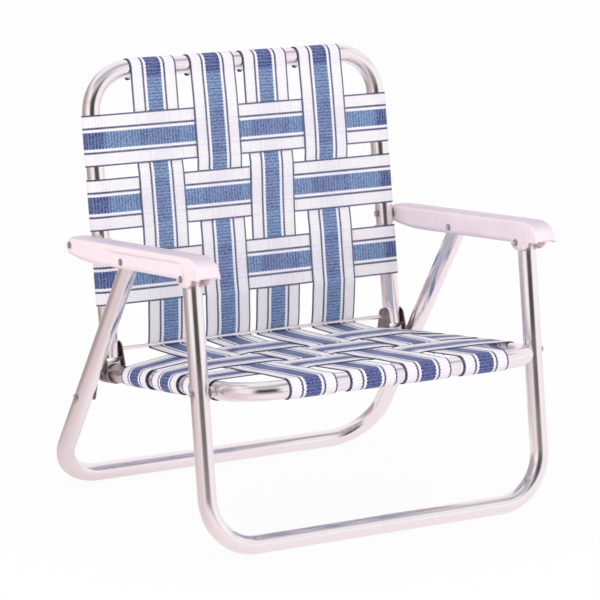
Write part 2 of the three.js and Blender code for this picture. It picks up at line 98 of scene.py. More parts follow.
def standMatrix(stand):
    y, z, lean = stands[stand]
    return Matrix.Translation((0, y * mm, z * mm)) @ Matrix.Rotation(math.radians(lean), 4, "X")


def pick(piece=None):  # back to object mode, with this piece alone selected
    if bpy.context.mode != "OBJECT":
        bpy.ops.object.mode_set(mode="OBJECT")
    bpy.ops.object.select_all(action="DESELECT")
    if piece:
        piece.select_set(True)
        bpy.context.view_layer.objects.active = piece


def editAll(piece):
    pick(piece)
    bpy.ops.object.mode_set(mode="EDIT")
    bpy.ops.mesh.select_all(action="SELECT")


def extrude(x, y, z):
    bpy.ops.mesh.extrude_region_move(TRANSFORM_OT_translate={"value": (x * mm, y * mm, z * mm)})


def mend(piece):  # merges what meets and turns the faces outwards
    editAll(piece)
    bpy.ops.mesh.remove_doubles(threshold=0.00002)
    bpy.ops.mesh.normals_make_consistent(inside=False)
    pick(piece)


def modify(piece, kind, **settings):
    pick(piece)
    modifier = piece.modifiers.new(kind.lower(), kind)
    for name, value in settings.items():
        setattr(modifier, name, value)
    bpy.ops.object.modifier_apply(modifier=modifier.name)


def smooth(piece, angle):
    pick(piece)
    bpy.ops.object.shade_smooth_by_angle(angle=math.radians(angle))


def breakEdges(piece, width, segments, angle, soft=35):  # rounds edges sharper than an angle, then shades
    modify(piece, "BEVEL", width=width * mm, segments=segments, limit_method="ANGLE",
           angle_limit=math.radians(angle))
    smooth(piece, soft)


def putDown(piece, matrix):  # moves a piece and leaves its place in its mesh
    pick(piece)
    piece.matrix_world = matrix @ piece.matrix_world
    bpy.ops.object.transform_apply(location=True, rotation=True, scale=True)


def copyPiece(piece, name, matrix):  # a twin with its own mesh, moved, turned or mirrored
    pick(piece)
    bpy.ops.object.duplicate(linked=False)
    twin = bpy.context.object
    twin.name = name
    putDown(twin, matrix)
    if matrix.is_negative:
        mend(twin)
    return twin


def removePiece(piece):
    pick(piece)
    bpy.ops.object.delete()


def finishPiece(piece, slot, material, *nodes, body=None):
    piece.data.materials.clear()
    piece.data.materials.append(material)
    if body:
        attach(piece, body)
    if nodes:
        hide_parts(*nodes)


def handedPair(pattern, stand, slot, material):  # left and right copies of a right-hand pattern
    node = "".join("_" + letter.lower() if letter.isupper() else letter for letter in pattern.name)
    for hand, outward in sides.items():
        matrix = standMatrix(stand) @ Matrix.Diagonal((outward, 1, 1, 1))
        piece = copyPiece(pattern, pattern.name + hand.capitalize(), matrix)
        finishPiece(piece, slot, material, f"{node}_{hand}", body=stand.format(hand))
    removePiece(pattern)


def newPiece(name, add, **settings):
    pick()
    add(**settings)
    bpy.context.object.name = name
    return bpy.context.object


def loopPiece(name, points, fill="NOTHING"):  # a closed loop through (x, y, z) points, left in edit mode
    piece = newPiece(name, bpy.ops.mesh.primitive_circle_add, vertices=len(points), fill_type=fill)
    for vertex, point in zip(piece.data.vertices, points):
        vertex.co = Vector(point) * mm
    editAll(piece)
    return piece


def gridPiece(name, across, along, placeOf):  # a grid whose points are put where placeOf(column, row) says
    piece = newPiece(name, bpy.ops.mesh.primitive_grid_add, x_subdivisions=across,
                     y_subdivisions=along, size=1.0)
    for vertex in piece.data.vertices:
        column, row = round((vertex.co.x + 0.5) * across), round((vertex.co.y + 0.5) * along)
        vertex.co = Vector(placeOf(column, row)) * mm
    return piece


def colour(code):  # sRGB hex to linear
    parts = [int(code[i:i + 2], 16) / 255 for i in (1, 3, 5)]
    return tuple(p / 12.92 if p <= 0.04045 else ((p + 0.055) / 1.055) ** 2.4 for p in parts) + (1.0,)


def feed(tree, node, inputs):  # by name or in order; another node is linked from its first output in use
    for socket, value in inputs.items() if isinstance(inputs, dict) else enumerate(inputs):
        if isinstance(value, bpy.types.Node):
            value = next(output for output in value.outputs if output.enabled)
        if isinstance(value, bpy.types.NodeSocket):
            tree.links.new(value, node.inputs[socket])
        else:
            node.inputs[socket].default_value = value


def addNode(tree, kind, inputs=(), stops=(), **settings):  # stops are a colour ramp's places and colours
    made = tree.nodes.new("ShaderNode" + kind)
    for name, value in settings.items():
        setattr(getattr(made, "color_ramp", made), name, value)
    feed(tree, made, inputs)
    for index, (place, tone) in enumerate(stops):
        elements = made.color_ramp.elements
        element = elements[index] if index < len(elements) else elements.new(place)
        element.position = place
        element.color = tone
    return made


def newMaterial(name):
    material = bpy.data.materials.new(name)
    material.use_nodes = True
    return material, material.node_tree, material.node_tree.nodes["Principled BSDF"]


def polishedAluminium():  # drawn tube, buffed: clear reflections with a faint ripple and a few dull smudges
    material, tree, shader = newMaterial("aluminium tube, polished")
    place = addNode(tree, "TexCoord").outputs["Object"]
    smudge = addNode(tree, "TexNoise", {"Vector": place, "Scale": 1 / (60 * mm), "Detail": 4.0})
    dull = addNode(tree, "MapRange", [smudge, 0.35, 0.75, 0.17, 0.26])
    ripple = addNode(tree, "TexNoise", {"Vector": place, "Scale": 1 / (35 * mm), "Detail": 1.0})
    wave = addNode(tree, "Bump", {"Height": ripple, "Strength": 0.05, "Distance": 0.6 * mm})
    feed(tree, shader, {"Base Color": colour("#f7f3f4"), "Metallic": 1.0, "Roughness": dull, "Normal": wave})
    return material


def cloudedMetal(name, grain, detail, tones, dull):  # two tones in clouds; dull is one roughness or a range
    material, tree, shader = newMaterial(name)
    place = addNode(tree, "TexCoord").outputs["Object"]
    place = addNode(tree, "Mapping", {"Vector": place, "Scale": [1 / (size * mm) for size in grain]})
    cloud = addNode(tree, "TexNoise", {"Vector": place, "Scale": 1.0, "Detail": detail})
    tone = addNode(tree, "ValToRGB", {"Fac": cloud}, [(share, colour(code)) for share, code in tones])
    if isinstance(dull, tuple):
        dull = addNode(tree, "MapRange", [cloud, 0.3, 0.7, dull[0], dull[1]])
    feed(tree, shader, {"Base Color": tone, "Metallic": 1.0, "Roughness": dull})
    return material


def rivetAluminium():  # annealed aluminium, set with a hammer: a pale head in a ring of painted shade round its rim, mottled
    material, tree, shader = newMaterial("aluminium rivet, set")
    place = addNode(tree, "TexCoord").outputs["Object"]
    mottle = addNode(tree, "TexNoise", {"Vector": place, "Scale": 1 / (2.5 * mm), "Detail": 3.0})
    rim = addNode(tree, "Attribute", attribute_name="rim").outputs["Fac"]
    ring = addNode(tree, "Math", [mottle, 0.2, rim], operation="MULTIPLY_ADD")
    # the dark stop is painted shade round the rim of each head; the mottle blurs its edges
    stops = [(0.62, colour("#f4f0f1")), (0.77, colour("#7d7477")), (1.0, colour("#b2aaad"))]
    tone = addNode(tree, "ValToRGB", {"Fac": ring}, stops)
    dull = addNode(tree, "MapRange", [mottle, 0.3, 0.7, 0.38, 0.24])
    feed(tree, shader, {"Base Color": tone, "Metallic": 1.0, "Roughness": dull})
    return material


def mouldedPlastic():  # polypropylene: satin white with a breath of pink, with painted lilac-grey shade on the faces that look up
    material, tree, shader = newMaterial("polypropylene, moulded white")
    coords = addNode(tree, "TexCoord")
    place = coords.outputs["Object"]
    facing = addNode(tree, "SeparateXYZ", {"Vector": coords.outputs["Normal"]})
    topShade = addNode(tree, "MapRange", [facing.outputs["Z"], 0.6, 0.95, 0.0, 1.0])
    cloud = addNode(tree, "TexNoise", {"Vector": place, "Scale": 1 / (45 * mm), "Detail": 3.0})
    tone = addNode(tree, "ValToRGB", {"Fac": cloud}, [(0.3, colour("#fae7eb")), (0.7, colour("#feeff3"))])
    # faces that look up take a painted lilac-grey shade
    tone = addNode(tree, "Mix", {"Factor": topShade, "A": tone, "B": colour("#d6cad6")}, data_type="RGBA")
    skin = addNode(tree, "TexNoise", {"Vector": place, "Scale": 1 / (0.9 * mm), "Detail": 2.0})
    grain = addNode(tree, "Bump", {"Height": skin, "Strength": 0.12, "Distance": 0.12 * mm})
    feed(tree, shader, {"Base Color": tone, "Roughness": 0.38, "IOR": 1.49, "Normal": grain,
                        "Subsurface Weight": 0.12, "Subsurface Scale": 1.0,
                        "Subsurface Radius": (3 * mm, 2.2 * mm, 2 * mm)})
    return material


webbing = {
    "width": 72.0, "thickness": 1.2, "across": 20, "pitch": 2.4,
    "rib": 4.6,     # one weft rib, drawn coarser than the real one so that it shows
    "thread": 4.8,  # a group of warp threads, also drawn coarser
    "fleck": 2.6,   # a cell of the weave's uneven dye, coarser too
    "ragged": 0.55,  # how far each rib carries a stripe's edge sideways
    # half of the stripe plan, from the middle out: where each stripe starts and its yarn
    "plan": [(0.0, "blue"), (11.6, "white"), (15.6, "navy"), (18.4, "cream"), (33.7, "navy")],
    # each yarn in painted shade where something is behind it, and in painted light where daylight is behind
    # it
    "yarns": {"blue": ("#525d90", "#7690b6"), "white": ("#f2f2f8", "#f6f6fb"),
              "navy": ("#45486a", "#5b6280"), "cream": ("#f4f1f5", "#f8f6f6")},
    # how much the weave's dark and light cells show in each yarn: painted light and shade on the ribs, and
    # uneven dye
    "stipple": {"blue": 0.20, "white": 0.02, "navy": 0.16, "cream": 0.025},
    # how dark each yarn's painted shade is where it shows through a tape that lies in front of it
    "shade": {"blue": 0.9, "white": 0.0, "navy": 1.0, "cream": 0.1},
}


def stripedWebbing():  # woven tape: dyed warp stripes on a ribbed weft, in painted shade where something is behind it and painted light where daylight is behind it
    material, tree, shader = newMaterial("polypropylene webbing, woven stripes")
    width, half = webbing["width"], webbing["width"] / 2
    uv = addNode(tree, "UVMap", uv_map="strap")
    split = addNode(tree, "SeparateXYZ", {"Vector": uv})
    sideways, along = split.outputs["X"], split.outputs["Y"]
    waves = []
    for place, size in ((along, "rib"), (sideways, "thread")):
        wave = addNode(tree, "Math", [place, 2 * math.pi * width / webbing[size]], operation="MULTIPLY")
        waves.append(addNode(tree, "Math", [wave], operation="SINE"))
    weft, warp = waves
    off = addNode(tree, "Math", [sideways, width, -half], operation="MULTIPLY_ADD")
    off = addNode(tree, "Math", [off], operation="ABSOLUTE")
    off = addNode(tree, "Math", [weft, webbing["ragged"], off], operation="MULTIPLY_ADD")
    across = addNode(tree, "Math", [off, half], operation="DIVIDE")
    looks = []
    for look in (0, 1):
        stops = [(start / half, colour(webbing["yarns"][yarn][look])) for start, yarn in webbing["plan"]]
        looks.append(addNode(tree, "ValToRGB", {"Fac": across}, stops, interpolation="CONSTANT"))
    # backed brings in each yarn's painted shade; noise varies how much
    backed = addNode(tree, "Attribute", attribute_name="backed").outputs["Fac"]
    dense = addNode(tree, "Mapping", {"Vector": uv, "Scale": (2.5, 2.0, 1.0)})
    dense = addNode(tree, "TexNoise", {"Vector": dense, "Scale": 1.0, "Detail": 2.0})
    cover = addNode(tree, "MapRange", [dense, 0.35, 0.65, -0.18, 0.22])
    cover = addNode(tree, "Math", [backed, cover], operation="ADD", use_clamp=True)
    dyedAndShaded = addNode(tree, "Mix", {"Factor": cover, "A": looks[1], "B": looks[0]}, data_type="RGBA")
    uneven = addNode(tree, "TexNoise", {"Vector": uv, "Scale": width / webbing["fleck"], "Detail": 0.0})
    uneven = addNode(tree, "MapRange", [uneven, 0.3, 0.7, -1.0, 1.0])
    # painted light and shade along each weft rib, with the weave's uneven dye between
    cell = addNode(tree, "Math", [weft, 0.8, uneven], operation="MULTIPLY_ADD")
    stops = [(start / half, (*[webbing["stipple"][yarn]] * 3, 1.0)) for start, yarn in webbing["plan"]]
    share = addNode(tree, "ValToRGB", {"Fac": across}, stops, interpolation="CONSTANT")
    fleck = addNode(tree, "Math", [cell, share], operation="MULTIPLY")
    gain = addNode(tree, "Math", [fleck, 1.0], operation="ADD")
    paler = addNode(tree, "Math", [fleck, 0.2], operation="MULTIPLY")  # a light cell is also less blue
    woven = addNode(tree, "VectorMath", [dyedAndShaded, gain, paler], operation="MULTIPLY_ADD")
    # painted shade of a tape's stripe behind, showing through as a lilac veil
    under = addNode(tree, "Attribute", attribute_name="under").outputs["Fac"]
    veil = addNode(tree, "Mix", {"Factor": under, "A": woven, "B": colour("#a9abd0")}, data_type="RGBA")
    height = addNode(tree, "Math", [warp, 0.4], operation="MULTIPLY")
    height = addNode(tree, "Math", [weft, 0.6, height], operation="MULTIPLY_ADD")
    ribs = addNode(tree, "Bump", {"Height": height, "Strength": 0.5, "Distance": 0.15 * mm})
    feed(tree, shader, {"Base Color": veil, "Roughness": 0.55, "IOR": 1.49, "Normal": ribs})
    return material


aluminium = polishedAluminium()
rivetMetal = rivetAluminium()
plastic = mouldedPlastic()
tape = stripedWebbing()
# zinc plate on steel: pale and softly bright, with faint clouds and a satin skin
zinc = cloudedMetal("steel, zinc plated", (14, 14, 14), 2.0, ((0.3, "#e8e5e4"), (0.7, "#f8f6f6")),
                    (0.38, 0.48))
# self-cutting screws, oil blackened: dark with a thin grey shine
screwMetal = cloudedMetal("steel screw, blackened", (2, 2, 2), 3.0, ((0.4, "#35333a"), (0.75, "#6d6a70")),
                          0.38)
# plain strip, stamped: brown-grey, rolled streaks, dull
steel = cloudedMetal("steel strip, stamped", (2, 2, 14), 3.0, ((0.3, "#8a807e"), (0.75, "#b3a8a8")),
                     (0.30, 0.46))
print("materials: made")

# press is how deep a rivet flattens the wall; the dent fades over pressReach and ends at pressZone
tubeStock = {"wall": 1.2, "sides": 48, "bendSteps": 26, "edge": 0.25, "press": 1.3, "pressReach": 8.0,
             "pressZone": 24.0, "pressRings": 10, "ringStep": 2.0}

# a U of tube: bar at z = 0, sides rising; rivets are heights up the sides where the wall is pressed flat
legs = {"half": tubeX["legs"], "bend": 70, "turn": 0, "shift": (0, 0, 0)}
tubeRuns = {
    "seatTube": {"stand": "seat", "node": "seat_frame", "half": tubeX["seat"], "run": 392.7, "bend": 55,
                 "turn": -90, "shift": (0, -barAt["seat"], 0), "rivets": []},
    "backTube": {"stand": "back", "node": "back_frame", "half": tubeX["seat"], "run": 400.2, "bend": 61,
                 "turn": 180, "shift": (0, 0, barAt["back"]), "rivets": [238.0]},
    "frontLegTube": {**legs, "stand": "front_legs", "node": "front_leg_frame", "run": 372.9,
                     "rivets": [209.75]},
    "rearLegTube": {**legs, "stand": "rear_legs", "node": "rear_leg_frame", "run": 440.0,
                    "rivets": [166.97]},
}


def sideStops(plan):  # heights of the rings down one side, close together where a rivet presses the wall
    rings = range(-tubeStock["pressRings"], tubeStock["pressRings"] + 1)
    stops = {plan["run"], plan["bend"]}
    for rivet in plan["rivets"]:
        stops.update(rivet + ring * tubeStock["ringStep"] for ring in rings)
    return sorted((stop for stop in stops if plan["bend"] <= stop <= plan["run"]), reverse=True)


def pressWalls(piece, plan):  # flattens the wall round each rivet
    for vertex in piece.data.vertices:
        side = math.copysign(plan["half"], vertex.co.x)
        out = vertex.co.x / mm - side
        for rivet in plan["rivets"]:
            away = vertex.co.z / mm - rivet
            dent = tubeStock["press"] * math.exp(-(away / tubeStock["pressReach"]) ** 2)
            limit = tubeRadius - dent
            if abs(away) < tubeStock["pressZone"] and abs(out) > limit:
                vertex.co.x = (side + math.copysign(limit, out)) * mm


def bentTube(name, plan):
    half, bend = plan["half"], plan["bend"]
    stops = sideStops(plan)
    piece = newPiece(name, bpy.ops.mesh.primitive_circle_add, vertices=tubeStock["sides"],
                     radius=tubeRadius * mm, location=(-half * mm, 0, plan["run"] * mm))
    bpy.ops.object.transform_apply(location=True)
    editAll(piece)
    for above, below in zip(stops, stops[1:]):
        extrude(0, 0, below - above)
    spin = {"steps": tubeStock["bendSteps"], "angle": math.pi / 2, "axis": (0, 1, 0)}
    bpy.ops.mesh.spin(center=((bend - half) * mm, 0, bend * mm), **spin)
    extrude(2 * (half - bend), 0, 0)
    bpy.ops.mesh.spin(center=((half - bend) * mm, 0, bend * mm), **spin)
    for below, above in zip(stops[::-1], stops[-2::-1]):
        extrude(0, 0, above - below)
    mend(piece)
    pressWalls(piece, plan)
    modify(piece, "SOLIDIFY", thickness=tubeStock["wall"] * mm, offset=-1.0)
    breakEdges(piece, tubeStock["edge"], 2, 60, 40)
    turn = Matrix.Rotation(math.radians(plan["turn"]), 4, "X")
    putDown(piece, standMatrix(plan["stand"]) @ Matrix.Translation(Vector(plan["shift"]) * mm) @ turn)
    finishPiece(piece, "tube", aluminium, plan["node"], body=plan["stand"])


for name, plan in tubeRuns.items():
    bentTube(name, plan)
print("tubes: bent")

armrest = {
    "width": 33.8, "nose": 11.6, "height": 31.5, "front": 366.0, "frontRound": 34.0,
    "frontEase": 13.6, "tipHeight": 5.5, "tipLean": 2.0, "tipRise": 14.2, "lip": 1.65,
    "earReach": 19.0, "earDrop": 10.6, "earForward": 7.0, "earLip": 0.2,
    "taper": 85.0, "taperEase": 38.0, "edgeRound": 5.0, "edge": 0.5,
    "crown": 0.7, "crownFull": 20.0,  # how far the top bulges, where the section is at least this deep
    "wall": 2.4, "inner": 13.4, "endWall": 25.0,
    "frontPivot": (316.66, -19.9),  # forward of the rear rivet and above it
    "ridge": 9.0, "ridgeStart": 60.0, "ridgeFade": 90.0, "ridgeEnd": 318.0, "ridgeDrop": 14.0,
    "recess": 1.5, "groove": 1.2,
    # sections round the rear end, half of the ear and the front end, and how far apart they are between
    "rearSteps": 12, "earSteps": 16, "frontSteps": 20, "bodyStep": 6.0, "bodySteps": 50,
    "edgeSteps": 6, "wallPoint": 10,  # points round a section's upper edge, and where its wall starts
}


def armTop(forward):
    a = armrest
    if forward < 0:
        return math.sqrt(max(a["nose"] ** 2 - forward ** 2, 0))
    start = a["front"] - a["frontRound"]
    if forward <= start:
        return a["nose"]
    tip = a["nose"] - a["height"] + a["tipHeight"]
    run = (start, a["front"] - a["frontEase"], a["front"] - a["tipLean"], a["front"])
    fall = (a["nose"], a["nose"], tip + a["tipRise"], tip)
    return bezier(fall, shareAt(lambda t: bezier(run, t), forward))


def armBottom(forward):
    a = armrest
    floor, ease = a["nose"] - a["height"], a["taperEase"]
    pivot, drop = a["frontPivot"]
    if forward < 0:
        return -armTop(forward)
    if forward < a["taper"]:
        t = shareAt(lambda t: 2 * ease * t * (1 - t) + a["taper"] * t * t, forward)
        return -a["nose"] * (1 - t) ** 2 + floor * (2 * t * (1 - t) + t * t)
    off = (forward - pivot - a["earForward"]) / a["earReach"]
    edge = floor + a["lip"] if off > 0 else floor
    return min(edge, drop - a["earDrop"] * math.sqrt(1 - off * off)) if abs(off) < 1 else edge


def armStations():  # where sections are taken, forward of the rear rivet
    a = armrest
    earAt, start = a["frontPivot"][0] + a["earForward"], a["front"] - a["frontRound"]
    rear = [-a["nose"] * share for share in sines(1, a["rearSteps"])]
    body = [step * a["bodyStep"] for step in range(a["bodySteps"] + 1)]
    ear = [earAt + a["earReach"] * share for share in sines(-a["earSteps"], a["earSteps"])]
    ear.append(ear[-1] + a["earLip"])
    front = [start + a["frontRound"] * share for share in sines(0, a["frontSteps"])]
    return sorted({round(station, 3) for station in rear + body + ear + front})


def armSection(forward, ridged):  # half of the outer skin, from the top middle round and down: (out, up)
    a = armrest
    top, bottom = armTop(forward), armBottom(forward)
    half = a["width"] / 2
    drop = max(top - bottom, 0.01)
    edge = min(a["edgeRound"], drop * 0.8)
    crown = a["crown"] * min(drop / a["crownFull"], 1)
    shares = (0, 0.25, 0.5, (half - edge) / half * 0.92)
    points = [(half * share, top - crown * share * share) for share in shares]
    for step in range(a["edgeSteps"] + 1):
        angle = math.pi / 2 * (1 - step / a["edgeSteps"])
        points.append((half - edge + edge * math.cos(angle), top - crown - edge + edge * math.sin(angle)))
    wallTop = points[a["wallPoint"]][1]
    sinks = smoothStep(a["ridgeEnd"], a["ridgeEnd"] + a["ridgeDrop"], forward)
    ridge = min(max(top - a["ridge"] - sinks * a["height"], bottom), wallTop)
    deep = ridged * smoothStep(a["ridgeStart"], a["ridgeStart"] + a["ridgeFade"], forward)
    below = ridge - bottom  # the recessed wall under the ridge, with a groove along its top
    levels = [(0.5 * (wallTop - ridge), 0), (0.3, 0), (-0.4, a["groove"]), (-2.0, a["groove"]), (-3.0, 0)]
    levels += [(-share * below, 0) for share in (0.34, 0.67, 1.0)]
    for level, cut in levels:
        level = min(max(ridge + level, bottom), wallTop)
        sunk = (a["recess"] + cut) * smoothStep(0.2, -0.4, level - ridge) * smoothStep(0, 4, below)
        points.append((half - deep * sunk, level))
    return points


def armSkins(forward, ridged):  # the outer section and the inner skin behind it, as (x, y, z)
    a = armrest
    outer = armSection(forward, ridged)
    wallTop, bottom = outer[a["wallPoint"]][1], outer[-1][1]
    inner = []
    for index, (x, z) in enumerate(outer):
        keep = 1 - min(max((wallTop - z) / max(wallTop - bottom, 0.01), 0), 1)  # 0 at the lower rim
        out = a["inner"] if index > a["wallPoint"] else x * a["inner"] / (a["width"] / 2)
        if forward < 0:
            shrink = 1 - a["wall"] / a["nose"] * keep
            inner.append((out, -forward * shrink, z * shrink))
        else:
            back = a["wall"] * keep * smoothStep(a["front"] - a["endWall"], a["front"], forward)
            inner.append((out, back - forward, z - a["wall"] * keep))
    return [(x, -forward, z) for x, z in outer], inner


def armRing(ridged, plain):  # once round a section: over the outer skin and back under the inner one
    mirrored = [[(-x, y, z) for x, y, z in skin] for skin in plain]
    return mirrored[0][:0:-1] + ridged[0] + ridged[1][::-1] + mirrored[1][1:]


def makeArmrest():
    skins = [[armSkins(forward, ridged) for ridged in (1, 0)] for forward in armStations()]
    rings = [armRing(*pair) for pair in skins]
    for place, pair in ((0, skins[0]), (len(rings) + 1, skins[-1])):  # both ends close between the skins
        middles = [[tuple((a + b) / 2 for a, b in zip(*points)) for points in zip(*skin)] for skin in pair]
        rings.insert(place, armRing(*[(middle, middle) for middle in middles]))
    count = len(rings[0])
    piece = gridPiece("armrest", count, len(rings) - 1, lambda column, row: rings[row][column % count])
    mend(piece)
    breakEdges(piece, armrest["edge"], 2, 62, 30)
    mend(piece)  # rounding leaves points that fall together
    putDown(piece, Matrix.Translation((tubeX["legs"] * mm, 0, 0)))
    return piece


handedPair(makeArmrest(), "arm_{}", "armrest", plastic)
print("armrests: moulded")

# headShape goes from the rolled rim to the dished middle: share of the head's height and of its radius
rivetPlan = {"shank": 4.8, "head": 9.6, "bore": 5.4, "steps": 36,
             "headShape": ((0, 0.97), (0.25, 1.0), (0.55, 0.97), (0.82, 0.87), (0.97, 0.74), (1.0, 0.66),
                           (0.93, 0.58), (0.65, 0.2708), (0.65, 0.0))}

# the right-hand rivets: at is y and z in the stand, span is between the heads, heads are their heights
armLegs = {"stand": "arm_{}", "span": (248.0, 280.9), "heads": (1.8, 1.8)}
rivets = {
    "armBackRivet": {"stand": "arm_{}", "at": (0, 0), "span": (220.3, 282.4), "heads": (2.1, 1.8)},
    "armRearLegRivet": {**armLegs, "at": (-148.7, -11.38)},
    "armFrontLegRivet": {**armLegs, "at": (-316.66, -19.92)},
    "seatLegRivet": {"stand": "seat", "at": (-319.3, 0), "span": (220.0, 276.9), "heads": (1.8, 3.1)},
    "bracketRivet": {"stand": "seat", "at": (-7, 0), "span": (218.0, 247.9), "heads": (1.8, 0.85)},
    "linkLegRivet": {"stand": "rear_legs", "at": (0, 166.97), "span": (250.9, 276.9), "heads": (0, 3.1)},
    "linkRivetEnd": {"stand": "link_{}", "at": (0, -69.39), "span": (248.7, 250.6), "heads": (1.0, 0)},
}


def turnedPiece(name, profile, at=(0, 0)):  # spins (x, radius) points about the X axis through at
    piece = loopPiece(name, [(x, at[0], at[1] + radius) for x, radius in profile])
    bpy.ops.mesh.spin(steps=rivetPlan["steps"], angle=2 * math.pi, axis=(1, 0, 0),
                      center=(0, at[0] * mm, at[1] * mm))
    mend(piece)
    smooth(piece, 38)
    return piece


def rivetHead(face, height):  # face is where the head sits; a negative height faces the middle of the chair
    return [(face + height * up, rivetPlan["head"] / 2 * out) for up, out in rivetPlan["headShape"]]


def rivetProfile(span, heads, shank=rivetPlan["shank"]):
    (inner, outer), (innerHead, outerHead) = span, heads
    start = rivetHead(inner, -innerHead)[::-1] if innerHead else [(inner, 0.0)]
    end = rivetHead(outer, outerHead) if outerHead else [(outer, 0.0)]
    return start + [(inner, shank / 2), (outer, shank / 2)] + end


def markRim(piece, at):  # how far out from a rivet's middle each point lies, for the ring of painted shade
    rim = piece.data.attributes.new("rim", "FLOAT", "POINT")
    for vertex in piece.data.vertices:
        away = math.hypot(vertex.co.y / mm - at[0], vertex.co.z / mm - at[1])
        rim.data[vertex.index].value = away / (rivetPlan["head"] / 2)


for name, plan in rivets.items():
    pattern = turnedPiece(name, rivetProfile(plan["span"], plan["heads"]), plan["at"])
    markRim(pattern, plan["at"])
    handedPair(pattern, plan["stand"], "rivet", rivetMetal)

reach, head = hingeRod["reach"], hingeRod["head"]
rodProfile = rivetProfile((-reach, reach), (head, head), hingeRod["diameter"])
piece = turnedPiece("hingeRod", rodProfile, (-hingeRod["forward"], hingeRod["up"]))
putDown(piece, standMatrix("seat"))
finishPiece(piece, "rivet", aluminium, "hinge_rod", body="seat")

# rings round a rivet's shank, with their corners cut; waist is how far the middle is drawn in
collars = {
    "armBackWasher": {"rivet": "armBackRivet", "span": (246.0, 248.0), "diameter": 17.0, "waist": 0.4},
    "seatLegSpacer": {"rivet": "seatLegRivet", "span": (246.0, 252.2), "diameter": 16.0, "waist": 1.6},
}
collarCut = (0.4, 0.5)


def collarProfile(plan, steps=8):
    (inner, outer), (along, down) = plan["span"], collarCut
    rim, bore = plan["diameter"] / 2, rivetPlan["bore"] / 2
    shares = [step / steps for step in range(steps + 1)]
    waist = [(inner + along + (outer - inner - 2 * along) * share,
              rim - plan["waist"] * math.sin(math.pi * share)) for share in shares]
    return [(inner, bore), (inner, rim - down), *waist, (outer, rim - down), (outer, bore)]


for name, plan in collars.items():
    rivet = rivets[plan["rivet"]]
    handedPair(turnedPiece(name, collarProfile(plan), rivet["at"]), rivet["stand"], "rivet", zinc)
print("rivets, rod and collars: turned")

# a trough round the seat tube, with cheeks up to the rod; shoulders and hip are shares of their height
bracket = {"inner": 13.1, "sheet": 1.6, "front": 20.0, "rear": 18.0, "heel": 10.8, "eye": 12.0,
           "low": -16.3, "shoulders": (0.6, 0.45), "hip": 0.15, "eyeSteps": 10, "rows": 12,
           "troughStep": 1.75, "edge": 0.35}


def bracketReach(up):  # rear and front ends of the cheek at a height
    b = bracket
    eyeAt, eyeUp = hingeRod["forward"], hingeRod["up"]
    if up >= eyeUp:
        chord = math.sqrt(max(b["eye"] ** 2 - (up - eyeUp) ** 2, 0))
        return eyeAt - chord, eyeAt + chord
    front = b["front"]
    if up > tubeRadius:
        front += (eyeAt + b["eye"] - b["front"]) * (up - tubeRadius) / (eyeUp - tubeRadius)
    if up >= 0:
        return -b["rear"] + (eyeAt - b["eye"] + b["rear"]) * up / eyeUp, front
    return -b["rear"] + (b["rear"] - b["heel"]) * up / b["low"], front


def makeBracket():
    b = bracket
    rise = hingeRod["up"] + b["eye"]
    heights = [hingeRod["up"] + b["eye"] * share for share in sines(1, b["eyeSteps"])[::-1]]
    heights += [rise * share for share in b["shoulders"]] + [tubeRadius, rise * b["hip"]]
    cheek = [(b["inner"], up) for up in heights]
    trough = arc((0, 0), b["inner"], 0, -180, b["troughStep"])
    section = cheek + trough + [(-x, up) for x, up in cheek[::-1]]

    def placeOf(column, row):
        x, up = section[column]
        rear, front = bracketReach(up)
        return tubeX["seat"] + x, -(rear + (front - rear) * row / b["rows"]), up

    piece = gridPiece("hingeBracket", len(section) - 1, b["rows"], placeOf)
    mend(piece)
    modify(piece, "SOLIDIFY", thickness=b["sheet"] * mm, offset=1.0)
    breakEdges(piece, b["edge"], 2, 50)
    return piece


def platePiece(name, outline, depth, edge):  # a flat outline of (x, y, z) points, drawn out by depth
    piece = loopPiece(name, outline, "NGON")
    extrude(*depth)
    mend(piece)
    breakEdges(piece, edge, 3, 40)
    return piece


link = {"inner": 249.0, "sheet": 1.6, "width": 14.0, "length": 69.39, "endStep": 1.1, "edge": 0.35}


def makeLink():  # a strip with round ends
    radius, step = link["width"] / 2, link["endStep"]
    outline = arc((0, 0), radius, 0, 180, step) + arc((0, -link["length"]), radius, 180, 360, step)
    outline = [(link["inner"], *point) for point in outline]
    return platePiece("legLink", outline, (link["sheet"], 0, 0), link["edge"])


saddle = {"width": 21.0, "length": 20.0, "gap": 0.4, "foot": 11.0, "steps": 20, "edge": 0.7}


def makeSaddle():  # its bed fits the seat tube, and its cup the end of the back tube at all angles
    s = saddle
    across = [s["width"] * (step / s["steps"] - 0.5) for step in range(s["steps"] + 1)]
    bed = [(x, math.sqrt((tubeRadius + s["gap"]) ** 2 - x * x)) for x in across]
    cup = [(x, hingeRod["up"] - s["gap"] - math.hypot(math.sqrt(tubeRadius ** 2 - x * x), s["foot"]))
           for x in across[::-1]]
    start = -hingeRod["forward"] - s["length"] / 2
    outline = [(tubeX["seat"] + x, start, up) for x, up in bed + cup]
    return platePiece("backSaddle", outline, (0, s["length"], 0), s["edge"])


handedPair(makeBracket(), "seat", "bracket", steel)
handedPair(makeLink(), "link_{}", "bracket", steel)
handedPair(makeSaddle(), "seat", "rivet", zinc)
print("brackets, links and saddles: stamped")

